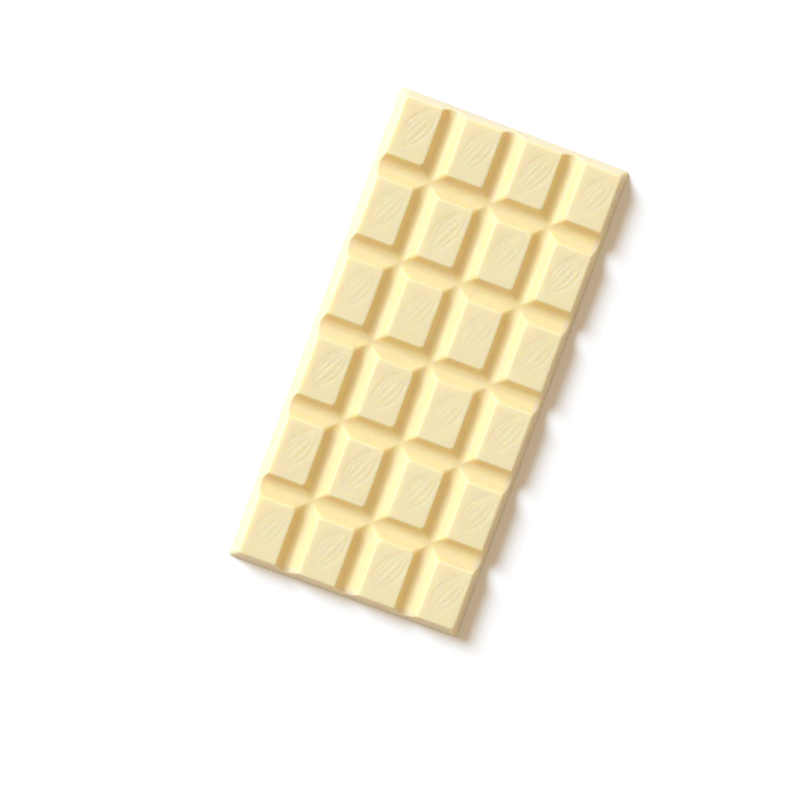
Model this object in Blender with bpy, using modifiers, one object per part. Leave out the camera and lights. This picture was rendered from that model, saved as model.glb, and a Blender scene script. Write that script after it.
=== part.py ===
# Chocolate bar: one moulded tablet of white chocolate, four squares wide and six squares long.
# Metres, +Z up. X runs across the bar, Y along it, and the underside lies on z = 0 about the origin.

import bmesh
import bpy

# The pattern of raised squares
COLUMNS = 4
ROWS = 6
TOP_WIDTH = 0.01178        # flat top of one square, across the bar
TOP_LENGTH = 0.01838       # flat top of one square, along the bar

# Heights
HEIGHT = 0.0071            # underside to the flat tops
WEB = 0.0040              # what is left under the grooves

# Grooves between the squares, the same both ways
SLOPE_RUN = 0.0032         # how far a groove's side leans out over its height
FLOOR_WIDTH = 0.00125

# Outer walls and edges
WALL_RUN = 0.00277         # how far an outer wall leans in over the full height
EDGE_ROUND = 0.00045       # at the tops, down the corners and along the groove floors
EDGE_SEGMENTS = 2
FLAT_ANGLE = 0.01          # faces that turn less than this, in radians, are one flat
SHARP_ANGLE = 0.5          # edges that turn more than this, in radians, are rounded
SMOOTH_ANGLE = 0.6         # edges that turn less than this, in radians, are shaded smooth

# The cutters stand this far clear of the bar at both ends and above it
CLEARANCE = 0.004

# White chocolate
COLOUR = (0.887, 0.770, 0.456, 1.0)
ROUGHNESS = 0.42

GROOVE_WIDTH = 2 * SLOPE_RUN + FLOOR_WIDTH
PITCH_X = TOP_WIDTH + GROOVE_WIDTH
PITCH_Y = TOP_LENGTH + GROOVE_WIDTH
WIDTH = (COLUMNS - 1) * PITCH_X + TOP_WIDTH + 2 * WALL_RUN
LENGTH = (ROWS - 1) * PITCH_Y + TOP_LENGTH + 2 * WALL_RUN


def clear_scene():
    for thing in list(bpy.data.objects):
        bpy.data.objects.remove(thing, do_unlink=True)


def make_collection(name):
    collection = bpy.data.collections.new(name)
    bpy.context.scene.collection.children.link(collection)
    return collection


def chocolate_material():
    material = bpy.data.materials.new("white_chocolate")
    material.use_nodes = True
    shader = material.node_tree.nodes["Principled BSDF"]
    shader.inputs["Base Color"].default_value = COLOUR
    shader.inputs["Roughness"].default_value = ROUGHNESS
    shader.inputs["Metallic"].default_value = 0.0
    material.diffuse_color = COLOUR
    return material


def add_object(name, shape, collection):
    mesh = bpy.data.meshes.new(name)
    shape.to_mesh(mesh)
    shape.free()
    thing = bpy.data.objects.new(name, mesh)
    collection.objects.link(thing)
    return thing


def tapered_block():
    # the bar before its grooves: a slab whose four walls lean in towards the top
    shape = bmesh.new()
    bmesh.ops.create_cube(shape, size=1.0)
    for vertex in shape.verts:
        lean = WALL_RUN if vertex.co.z > 0 else 0.0
        vertex.co.x *= WIDTH - 2 * lean
        vertex.co.y *= LENGTH - 2 * lean
        vertex.co.z = HEIGHT if vertex.co.z > 0 else 0.0
    return shape


def groove_shape(length):
    # a groove along Y: a flat floor, and sides that lean out at one slope
    top = HEIGHT + CLEARANCE
    slope = SLOPE_RUN / (HEIGHT - WEB)
    shape = bmesh.new()
    bmesh.ops.create_cube(shape, size=1.0)
    for vertex in shape.verts:
        vertex.co.z = top if vertex.co.z > 0 else WEB
        vertex.co.x *= FLOOR_WIDTH + 2 * slope * (vertex.co.z - WEB)
        vertex.co.y *= length + 2 * CLEARANCE
    return shape


def add_cutter(name, shape, place, collection):
    cutter = add_object(name, shape, collection)
    cutter.location = place
    cutter.hide_render = True
    cutter.display_type = "WIRE"


def add_grooves(collection):
    for column in range(1, COLUMNS):
        x = (column - COLUMNS / 2) * PITCH_X
        add_cutter(f"groove_along_{column}", groove_shape(LENGTH), (x, 0, 0), collection)
    for row in range(1, ROWS):
        y = (row - ROWS / 2) * PITCH_Y
        shape = groove_shape(WIDTH)
        for vertex in shape.verts:
            vertex.co.x, vertex.co.y = -vertex.co.y, vertex.co.x
        add_cutter(f"groove_across_{row}", shape, (0, y, 0), collection)


def cut(thing, cutters):
    # all the grooves at once, so that their floors meet in one plane
    modifier = thing.modifiers.new("grooves", "BOOLEAN")
    modifier.operation = "DIFFERENCE"
    modifier.solver = "EXACT"
    modifier.operand_type = "COLLECTION"
    modifier.collection = cutters


def clean_flats(thing):
    # one face for each flat, with no leftover points along its edges
    modifier = thing.modifiers.new("flats", "DECIMATE")
    modifier.decimate_type = "DISSOLVE"
    modifier.angle_limit = FLAT_ANGLE


def round_edges(thing):
    modifier = thing.modifiers.new("edges", "BEVEL")
    modifier.limit_method = "ANGLE"
    modifier.angle_limit = SHARP_ANGLE
    modifier.width = EDGE_ROUND
    modifier.segments = EDGE_SEGMENTS
    modifier.use_clamp_overlap = True


def make_bar(parts, guides):
    bar = add_object("bar", tapered_block(), parts)
    add_grooves(guides)
    cut(bar, guides)
    clean_flats(bar)
    round_edges(bar)
    bar.data.materials.append(chocolate_material())
    bar.data.shade_smooth()
    bar.data.set_sharp_from_angle(angle=SMOOTH_ANGLE)
    return bar


def main():
    clear_scene()
    parts = make_collection("chocolate_bar")
    guides = make_collection("cutters")
    make_bar(parts, guides)


main()
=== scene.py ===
import math
import random

import bmesh
import bpy
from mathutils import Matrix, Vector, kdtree


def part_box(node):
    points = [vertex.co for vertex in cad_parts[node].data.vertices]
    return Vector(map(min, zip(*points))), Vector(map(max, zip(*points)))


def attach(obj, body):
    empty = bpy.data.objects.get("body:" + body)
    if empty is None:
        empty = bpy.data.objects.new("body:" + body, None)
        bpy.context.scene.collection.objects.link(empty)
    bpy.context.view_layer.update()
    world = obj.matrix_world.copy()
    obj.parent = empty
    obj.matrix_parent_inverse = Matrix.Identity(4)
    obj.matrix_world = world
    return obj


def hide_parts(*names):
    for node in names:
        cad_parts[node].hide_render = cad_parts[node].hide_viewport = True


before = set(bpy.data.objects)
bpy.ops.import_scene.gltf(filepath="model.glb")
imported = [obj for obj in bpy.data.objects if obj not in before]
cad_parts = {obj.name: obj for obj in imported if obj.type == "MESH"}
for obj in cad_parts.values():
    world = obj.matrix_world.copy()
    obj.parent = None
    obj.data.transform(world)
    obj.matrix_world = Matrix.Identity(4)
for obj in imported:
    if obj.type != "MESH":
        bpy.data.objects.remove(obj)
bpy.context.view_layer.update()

barLow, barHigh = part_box("bar")
print("frame loaded, bar is", [round(1000 * side, 2) for side in barHigh - barLow], "mm")

# The tablet in metres: X across, Y along, Z up, underside on z = 0
tablet = {
    "columns": 4,
    "rows": 6,
    "topWidth": 0.01178,        # flat top of one square, across
    "topLength": 0.01838,       # flat top of one square, along
    "height": barHigh.z,
    "web": 0.0040,              # what is left under the grooves
    "slopeRun": 0.0023,         # how far a groove's side leans out
    "floorWidth": 0.00305,      # floor of a groove before it is rounded
    "wallRun": 0.00277,         # how far the outer walls lean in
    "floorRound": 0.00145,
    "edgeRound": 0.00034,
    "cornerRound": 0.0010,      # down the corners of each square and of the tablet
    "roundSegments": 5,
    "foldAngle": 0.5,           # edges that turn more than this, in radians, are rounded
    "cutsAcross": 11,           # cuts over each square, so that its faces can be uneven
    "cutsAlong": 15,
    "cutsUp": 3,
    "cutSnap": 0.00003,         # a cut this close to a point runs through it
    "smoothAngle": math.radians(24),
}

hair = 0.00001                  # two heights closer than this are the same height
level = 0.999                   # a face lies level when its normal points up by more than this

# How uneven the moulded side and the underside are
waviness = {
    "broadSize": 0.0085,
    "broadDepth": 0.00009,
    "fineSize": 0.0016,
    "fineDepth": 0.00003,
    "backSize": 0.006,
    "backDepth": 0.00012,
    "rim": 0.001,               # the foot of the walls and the rim of the underside stay even
    "noiseDepth": 2,
}

# The pod pressed into each square, as furrows that run like the ribs of a cocoa pod
pod = {
    "length": 0.0168,
    "halfWidth": 0.0035,
    "lean": math.radians(26),
    "centre": (0.0006, 0.0010),       # from the middle of the square
    "fullness": 0.8,
    # side of the pod from -1 to 1, where the furrow starts and where it ends, from stem to tip
    "ribs": (
        (-1.00, 0.12, 0.97),
        (-0.65, 0.14, 0.90),
        (-0.22, 0.06, 0.88),
        (0.40, 0.08, 0.86),
        (0.90, 0.03, 0.92),
    ),
    "pointsPerRib": 90,
    "furrowRadius": 0.00042,
    "furrowDepth": 0.000125,
    "taper": 0.35,
    "depthSpread": 0.25,
    "placeSpread": 0.0002,
    "seed": 4,
    "weakest": 0.01,            # a share of the furrow's depth below this is left out
    "finerCuts": 4,             # extra cuts over the flats, for the furrows
}


def startEditing(piece, mode):
    bpy.context.view_layer.objects.active = piece
    piece.select_set(True)
    bpy.ops.object.mode_set(mode="EDIT")
    bpy.ops.mesh.select_mode(type=mode)


def stopEditing():
    bpy.ops.object.mode_set(mode="OBJECT")


def choose(piece, parts, test):
    # selects the verts, edges or faces of the piece in edit mode that pass the test
    bpy.ops.mesh.select_all(action="DESELECT")
    shape = bmesh.from_edit_mesh(piece.data)
    shape.normal_update()
    for part in getattr(shape, parts):
        part.select_set(test(part))
    shape.select_flush_mode()
    bmesh.update_edit_mesh(piece.data)


def applyAll(piece):
    bpy.context.view_layer.objects.active = piece
    for modifier in list(piece.modifiers):
        bpy.ops.object.modifier_apply(modifier=modifier.name)


grooveWidth = 2 * tablet["slopeRun"] + tablet["floorWidth"]
pitchX = tablet["topWidth"] + grooveWidth
pitchY = tablet["topLength"] + grooveWidth
width = (tablet["columns"] - 1) * pitchX + tablet["topWidth"] + 2 * tablet["wallRun"]
length = (tablet["rows"] - 1) * pitchY + tablet["topLength"] + 2 * tablet["wallRun"]


def squareCentres():
    for column in range(tablet["columns"]):
        for row in range(tablet["rows"]):
            yield (
                (column - (tablet["columns"] - 1) / 2) * pitchX,
                (row - (tablet["rows"] - 1) / 2) * pitchY,
            )


def footOf(centre, pitch, reach):
    # where a square starts and ends at the level of the groove floors, along one axis
    half = (pitch - tablet["floorWidth"]) / 2
    return max(centre - half, -reach), min(centre + half, reach)


def makeSlab():
    web, height = tablet["web"], tablet["height"]
    bpy.ops.mesh.primitive_cube_add(size=1, location=(0, 0, web / 2), scale=(width, length, web))
    slab = bpy.context.object
    slab.name = "whiteTablet"
    bpy.ops.object.transform_apply(location=True, rotation=True, scale=True)
    startEditing(slab, "VERT")
    choose(slab, "verts", lambda v: v.co.z > web / 2)
    lean = 2 * tablet["wallRun"] * web / height
    bpy.ops.transform.resize(
        value=((width - lean) / width, (length - lean) / length, 1), center_override=(0, 0, web))
    # both edges of each groove's floor
    for count, pitch, axis in ((tablet["columns"], pitchX, 0), (tablet["rows"], pitchY, 1)):
        for groove in range(1, count):
            for side in (-1, 1):
                place, normal = [0, 0, 0], [0, 0, 0]
                place[axis] = (groove - count / 2) * pitch + side * tablet["floorWidth"] / 2
                normal[axis] = 1
                bpy.ops.mesh.select_all(action="SELECT")
                bpy.ops.mesh.bisect(plane_co=place, plane_no=normal)
    stopEditing()
    return slab


def raiseSquares(slab):
    web, height = tablet["web"], tablet["height"]
    reachX = width / 2 - tablet["wallRun"] * web / height
    reachY = length / 2 - tablet["wallRun"] * web / height
    startEditing(slab, "FACE")
    # the faces between the grooves, which are wider than any groove's floor
    widest = tablet["floorWidth"] * 1.5
    choose(slab, "faces", lambda f: f.normal.z > level
           and min(edge.calc_length() for edge in f.edges) > widest)
    bpy.ops.mesh.extrude_region_move(TRANSFORM_OT_translate={"value": (0, 0, height - web)})
    bpy.ops.mesh.select_mode(type="VERT")
    for x, y in squareCentres():
        left, right = footOf(x, pitchX, reachX)
        front, back = footOf(y, pitchY, reachY)
        middle = ((left + right) / 2, (front + back) / 2, height)
        choose(slab, "verts", lambda v: v.co.z > height - hair
               and abs(v.co.x - x) < pitchX / 2 and abs(v.co.y - y) < pitchY / 2)
        bpy.ops.transform.resize(
            value=(tablet["topWidth"] / (right - left), tablet["topLength"] / (back - front), 1),
            center_override=middle)
        bpy.ops.transform.translate(value=(x - middle[0], y - middle[1], 0))
    stopEditing()


def isFold(edge, convex):
    return (edge.is_manifold and edge.is_convex == convex
            and edge.calc_face_angle() > tablet["foldAngle"])


def isCorner(edge):
    # the edges that run down from the corners of the squares, but not where a groove meets an
    # outer wall
    leastRun, leastDrop, past = 0.0002, 0.0008, 0.0001
    drop = edge.verts[1].co - edge.verts[0].co
    slanted = min(abs(drop.x), abs(drop.y)) > leastRun and abs(drop.z) > leastDrop
    onWall = [
        max(abs(vertex.co[axis]) for vertex in edge.verts) > size / 2 - tablet["wallRun"] + past
        for axis, size in ((0, width), (1, length))
    ]
    return slanted and edge.is_manifold and edge.is_convex and onWall[0] == onWall[1]


def roundEdges(slab):
    startEditing(slab, "EDGE")
    for test, offset in (
        (lambda e: isFold(e, False), tablet["floorRound"]),
        (isCorner, tablet["cornerRound"]),
        (lambda e: isFold(e, True), tablet["edgeRound"]),
    ):
        choose(slab, "edges", test)
        bpy.ops.mesh.bevel(
            offset_type="OFFSET", offset=offset, segments=tablet["roundSegments"], profile=0.5,
            affect="EDGES")
    stopEditing()


def addCuts(slab):
    startEditing(slab, "FACE")
    for axis, size, count in (
        (0, width, tablet["columns"] * tablet["cutsAcross"]),
        (1, length, tablet["rows"] * tablet["cutsAlong"]),
        (2, tablet["height"], tablet["cutsUp"] + 1),
    ):
        for cut in range(1, count):
            place, normal = [0, 0, 0], [0, 0, 0]
            place[axis] = size * (cut / count - (0 if axis == 2 else 0.5))
            normal[axis] = 1
            bpy.ops.mesh.select_all(action="SELECT")
            bpy.ops.mesh.bisect(plane_co=place, plane_no=normal, threshold=tablet["cutSnap"])
    stopEditing()


def cloudTexture(name, size):
    texture = bpy.data.textures.new(name, "CLOUDS")
    texture.noise_scale = size
    texture.noise_depth = waviness["noiseDepth"]
    return texture


def addWaviness(slab):
    moulded = slab.vertex_groups.new(name="mouldedSide")
    back = slab.vertex_groups.new(name="underside")
    rim = waviness["rim"]
    for vertex in slab.data.vertices:
        place = vertex.co
        if place.z > rim:
            moulded.add([vertex.index], 1.0, "REPLACE")
        elif place.z < hair and abs(place.x) < width / 2 - rim and abs(place.y) < length / 2 - rim:
            back.add([vertex.index], 1.0, "REPLACE")
    # the moulded side goes in and out, and the underside only in, so that it still lies flat
    layers = (
        ("broad", "broadSize", "broadDepth", "mouldedSide", "NORMAL", 0.5),
        ("fine", "fineSize", "fineDepth", "mouldedSide", "NORMAL", 0.5),
        ("back", "backSize", "backDepth", "underside", "Z", 0.0),
    )
    for name, size, depth, group, direction, middle in layers:
        modifier = slab.modifiers.new(name, "DISPLACE")
        modifier.texture = cloudTexture(name, waviness[size])
        modifier.texture_coords = "LOCAL"
        modifier.strength = waviness[depth]
        modifier.mid_level = middle
        modifier.direction = direction
        modifier.vertex_group = group
    applyAll(slab)


def podPoint(side, along):
    # a point of the rib at this side of the pod; ribs spread from the stem and meet at the tip
    across = side * pod["halfWidth"] * math.sin(math.pi * along) ** pod["fullness"]
    forward = (along - 0.5) * pod["length"]
    turn = pod["lean"]
    return (
        pod["centre"][0] + across * math.cos(turn) + forward * math.sin(turn),
        pod["centre"][1] - across * math.sin(turn) + forward * math.cos(turn),
    )


def podTree():
    # points along every rib, each with how strong the furrow is there
    tree = kdtree.KDTree(len(pod["ribs"]) * pod["pointsPerRib"])
    strengths = []
    for side, start, end in pod["ribs"]:
        for step in range(pod["pointsPerRib"]):
            share = step / (pod["pointsPerRib"] - 1)
            tree.insert((*podPoint(side, start + (end - start) * share), 0), len(strengths))
            strengths.append(math.sin(math.pi * share) ** pod["taper"])
    tree.balance()
    return tree, strengths


def pressPods(slab):
    top = tablet["height"] - hair
    startEditing(slab, "FACE")
    choose(slab, "faces", lambda f: f.normal.z > level and f.calc_center_median().z > top
           and len(f.verts) == 4)
    bpy.ops.mesh.subdivide(number_cuts=pod["finerCuts"])
    # faces with many sides would fold once they are uneven
    choose(slab, "faces", lambda f: len(f.verts) > 4)
    bpy.ops.mesh.quads_convert_to_tris(ngon_method="BEAUTY")
    stopEditing()

    tree, strengths = podTree()
    draw = random.Random(pod["seed"])
    squares = [
        (
            x + draw.uniform(-1, 1) * pod["placeSpread"],
            y + draw.uniform(-1, 1) * pod["placeSpread"],
            1 + draw.uniform(-1, 1) * pod["depthSpread"],
        )
        for x, y in squareCentres()
    ]
    group = slab.vertex_groups.new(name="pods")
    for vertex in slab.data.vertices:
        place = vertex.co
        if place.z < top:
            continue
        column = min(int((place.x / pitchX) + tablet["columns"] / 2), tablet["columns"] - 1)
        row = min(int((place.y / pitchY) + tablet["rows"] / 2), tablet["rows"] - 1)
        x, y, depth = squares[column * tablet["rows"] + row]
        _, index, distance = tree.find((place.x - x, place.y - y, 0))
        weight = depth * strengths[index] * math.exp(-(distance / pod["furrowRadius"]) ** 2)
        if weight > pod["weakest"]:
            group.add([vertex.index], min(weight, 1.0), "REPLACE")
    press = slab.modifiers.new("pods", "DISPLACE")
    press.direction = "Z"
    press.mid_level = 0
    press.strength = -pod["furrowDepth"]
    press.vertex_group = "pods"
    applyAll(slab)


# White chocolate: a warm cream that light sinks into, with a satin skin
chocolate = {
    "cream": (0.874, 0.778, 0.508, 1),
    "butter": (0.856, 0.757, 0.478, 1),
    "toneEdges": (0.35, 0.65),  # where the noise is all butter and all cream
    "paintedGrooveShade": (1.045, 0.97, 0.81, 1),       # painted shade: multiplies the colour in the grooves, darker and more amber
    "paintedWallShade": (0.95, 0.905, 0.92, 1),         # painted shade on the outer walls: multiplies their colour a little darker, as for the grooves
    "shadeTop": 0.0001,          # the painted groove shade starts this far below the flats
    "shadeRun": 0.0006,          # and is full this much lower
    "shadeEdge": 0.0006,         # how softly the painted groove shade ends at the outer walls
    "creamNoise": (90, 3),      # scale per metre, and detail, as for the other noises
    "mottleNoise": (900, 4),
    "mottleShare": 0.35,
    "roughness": (0.36, 0.50),
    "roughnessNoise": (350, 3),
    "grainNoise": (2600, 3),
    "grainDepth": 0.00002,
    "skinNoise": (420, 2),
    "skinDepth": 0.00006,
    "depths": (1.1, 0.80, 0.10),        # how far red, green and blue travel, times the scale below
    "scale": 0.0030,
    "specular": 0.45,
    "ior": 1.45,
}


def noise(nodes, links, coordinates, scale, detail):
    node = nodes.new("ShaderNodeTexNoise")
    node.inputs["Scale"].default_value = scale
    node.inputs["Detail"].default_value = detail
    links.new(coordinates, node.inputs["Vector"])
    return node.outputs["Fac"]


def mapped(nodes, links, value, fromLow, fromHigh, toLow=0.0, toHigh=1.0):
    node = nodes.new("ShaderNodeMapRange")
    names = ("From Min", "From Max", "To Min", "To Max")
    for name, number in zip(names, (fromLow, fromHigh, toLow, toHigh)):
        node.inputs[name].default_value = number
    links.new(value, node.inputs["Value"])
    return node.outputs["Result"]


def mathNode(nodes, links, operation, first, second=None):
    node = nodes.new("ShaderNodeMath")
    node.operation = operation
    links.new(first, node.inputs[0])
    if second is not None:
        links.new(second, node.inputs[1])
    return node.outputs["Value"]


def paintedShadeMasks(nodes, links, place):
    # two masks for painted shade: one is 1 on the sides and floors of the grooves, the other on
    # the outer walls
    axes = nodes.new("ShaderNodeSeparateXYZ")
    links.new(place, axes.inputs["Vector"])
    top = tablet["height"] - chocolate["shadeTop"]
    below = mapped(nodes, links, axes.outputs["Z"], top, top - chocolate["shadeRun"])
    grooves = below
    for axis, size in (("X", width), ("Y", length)):
        wall = size / 2 - tablet["wallRun"]
        reach = mathNode(nodes, links, "ABSOLUTE", axes.outputs[axis])
        inside = mapped(nodes, links, reach, wall, wall - chocolate["shadeEdge"])
        grooves = mathNode(nodes, links, "MULTIPLY", grooves, inside)
    return grooves, mathNode(nodes, links, "SUBTRACT", below, grooves)


def chocolateMaterial():
    material = bpy.data.materials.new("whiteChocolate")
    material.use_nodes = True
    nodes, links = material.node_tree.nodes, material.node_tree.links
    shader = nodes["Principled BSDF"]
    place = nodes.new("ShaderNodeTexCoord").outputs["Object"]

    broad = noise(nodes, links, place, *chocolate["creamNoise"])
    mottle = noise(nodes, links, place, *chocolate["mottleNoise"])
    blend = nodes.new("ShaderNodeMix")
    blend.inputs["Factor"].default_value = chocolate["mottleShare"]
    links.new(broad, blend.inputs["A"])
    links.new(mottle, blend.inputs["B"])
    ramp = nodes.new("ShaderNodeValToRGB")
    tones = zip(ramp.color_ramp.elements, chocolate["toneEdges"], ("butter", "cream"))
    for element, edge, name in tones:
        element.position = edge
        element.color = chocolate[name]
    links.new(blend.outputs["Result"], ramp.inputs["Fac"])
    colour = ramp.outputs["Color"]
    # painted shade: the colour is multiplied darker and warmer in the grooves and on the outer
    # walls
    for mask, name in zip(paintedShadeMasks(nodes, links, place), ("paintedGrooveShade", "paintedWallShade")):
        tint = nodes.new("ShaderNodeMix")
        tint.data_type = "RGBA"
        tint.blend_type = "MULTIPLY"
        factor, colourIn, tintIn = tint.inputs[0], tint.inputs[6], tint.inputs[7]
        links.new(mask, factor)
        links.new(colour, colourIn)
        tintIn.default_value = chocolate[name]
        colour = tint.outputs[2]
    links.new(colour, shader.inputs["Base Color"])

    patches = noise(nodes, links, place, *chocolate["roughnessNoise"])
    rough = mapped(nodes, links, patches, 0, 1, *chocolate["roughness"])
    links.new(rough, shader.inputs["Roughness"])

    # the skin's faint unevenness, and a finer grain over it
    skin = nodes.new("ShaderNodeBump")
    skin.inputs["Distance"].default_value = chocolate["skinDepth"]
    links.new(noise(nodes, links, place, *chocolate["skinNoise"]), skin.inputs["Height"])
    grain = nodes.new("ShaderNodeBump")
    grain.inputs["Distance"].default_value = chocolate["grainDepth"]
    links.new(noise(nodes, links, place, *chocolate["grainNoise"]), grain.inputs["Height"])
    links.new(skin.outputs["Normal"], grain.inputs["Normal"])
    links.new(grain.outputs["Normal"], shader.inputs["Normal"])

    shader.inputs["Subsurface Weight"].default_value = 1.0
    shader.inputs["Subsurface Radius"].default_value = chocolate["depths"]
    shader.inputs["Subsurface Scale"].default_value = chocolate["scale"]
    shader.inputs["Specular IOR Level"].default_value = chocolate["specular"]
    shader.inputs["IOR"].default_value = chocolate["ior"]
    return material


def makeTablet():
    bpy.ops.object.select_all(action="DESELECT")
    slab = makeSlab()
    raiseSquares(slab)
    roundEdges(slab)
    addCuts(slab)
    print("tablet shaped,", len(slab.data.polygons), "faces")
    pressPods(slab)
    addWaviness(slab)
    print("pods pressed,", len(slab.data.polygons), "faces")
    bpy.ops.object.select_all(action="DESELECT")
    slab.select_set(True)
    bpy.context.view_layer.objects.active = slab
    bpy.ops.object.shade_smooth_by_angle(angle=tablet["smoothAngle"])
    # the large faces keep their own shading, and the rounded edges blend between them
    normals = slab.modifiers.new("normals", "WEIGHTED_NORMAL")
    normals.keep_sharp = True
    applyAll(slab)
    slab.vertex_groups.clear()
    slab.data.materials.clear()
    slab.data.materials.append(chocolateMaterial())
    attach(slab, "root")
    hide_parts("bar")


# The table top, the light and the camera
studio = {
    "floorSize": 4.0,
    "floorColour": (0.985, 0.985, 0.985, 1),
    "floorRoughness": 0.9,
    "sunTowards": (-0.709, 0.381, 0.594),       # from the bar to the light
    "sunSize": math.radians(23),
    "sunColour": (0.735, 0.895, 1.07),
    "sunStrength": 3.70,
    "fillColour": (1.07, 0.83, 0.57, 1),
    "fillStrength": 0.48,
    "lens": 100,
    "sensor": 36,
    "cameraHeight": 0.6863,
    "cameraPlace": (-0.0410, 0.0067),
    "cameraTurn": (-2.652, -2.268, 20.322),     # degrees
}


def makeFloor():
    bpy.ops.mesh.primitive_plane_add(size=studio["floorSize"], location=(0, 0, 0))
    floor = bpy.context.object
    floor.name = "tableTop"
    material = bpy.data.materials.new("paleTable")
    material.use_nodes = True
    shader = material.node_tree.nodes["Principled BSDF"]
    shader.inputs["Base Color"].default_value = studio["floorColour"]
    shader.inputs["Roughness"].default_value = studio["floorRoughness"]
    shader.inputs["Specular IOR Level"].default_value = 0.0
    floor.data.materials.append(material)


def makeWorld():
    world = bpy.data.worlds.new("studioWorld")
    bpy.context.scene.world = world
    world.use_nodes = True
    nodes, links = world.node_tree.nodes, world.node_tree.links
    nodes.clear()
    # the camera and mirror-like reflections see plain white, and the bar is lit by the warm fill
    path = nodes.new("ShaderNodeLightPath")
    seen = path.outputs["Is Camera Ray"]
    for ray in ("Is Glossy Ray", "Is Transmission Ray"):
        both = nodes.new("ShaderNodeMath")
        both.operation = "MAXIMUM"
        links.new(seen, both.inputs[0])
        links.new(path.outputs[ray], both.inputs[1])
        seen = both.outputs["Value"]
    fill = nodes.new("ShaderNodeBackground")
    fill.inputs["Color"].default_value = studio["fillColour"]
    fill.inputs["Strength"].default_value = studio["fillStrength"]
    white = nodes.new("ShaderNodeBackground")
    white.inputs["Color"].default_value = (1, 1, 1, 1)
    white.inputs["Strength"].default_value = 1.0
    choice = nodes.new("ShaderNodeMixShader")
    links.new(seen, choice.inputs["Fac"])
    links.new(fill.outputs["Background"], choice.inputs[1])
    links.new(white.outputs["Background"], choice.inputs[2])
    output = nodes.new("ShaderNodeOutputWorld")
    links.new(choice.outputs["Shader"], output.inputs["Surface"])


def makeSun():
    bpy.ops.object.light_add(type="SUN", location=(0, 0, 1))
    sun = bpy.context.object
    sun.name = "softKey"
    sun.data.color = studio["sunColour"]
    sun.data.energy = studio["sunStrength"]
    sun.data.angle = studio["sunSize"]
    towards = studio["sunTowards"]
    flat = math.hypot(towards[0], towards[1])
    sun.rotation_euler = (0, math.atan2(flat, towards[2]), math.atan2(towards[1], towards[0]))


def makeCamera():
    bpy.ops.object.camera_add(
        location=(*studio["cameraPlace"], studio["cameraHeight"]),
        rotation=[math.radians(turn) for turn in studio["cameraTurn"]])
    camera = bpy.context.object
    camera.data.lens = studio["lens"]
    camera.data.sensor_width = studio["sensor"]
    bpy.context.scene.camera = camera


makeTablet()
makeFloor()
makeWorld()
makeSun()
makeCamera()
bpy.context.scene.view_settings.view_transform = "Standard"
print("studio ready")
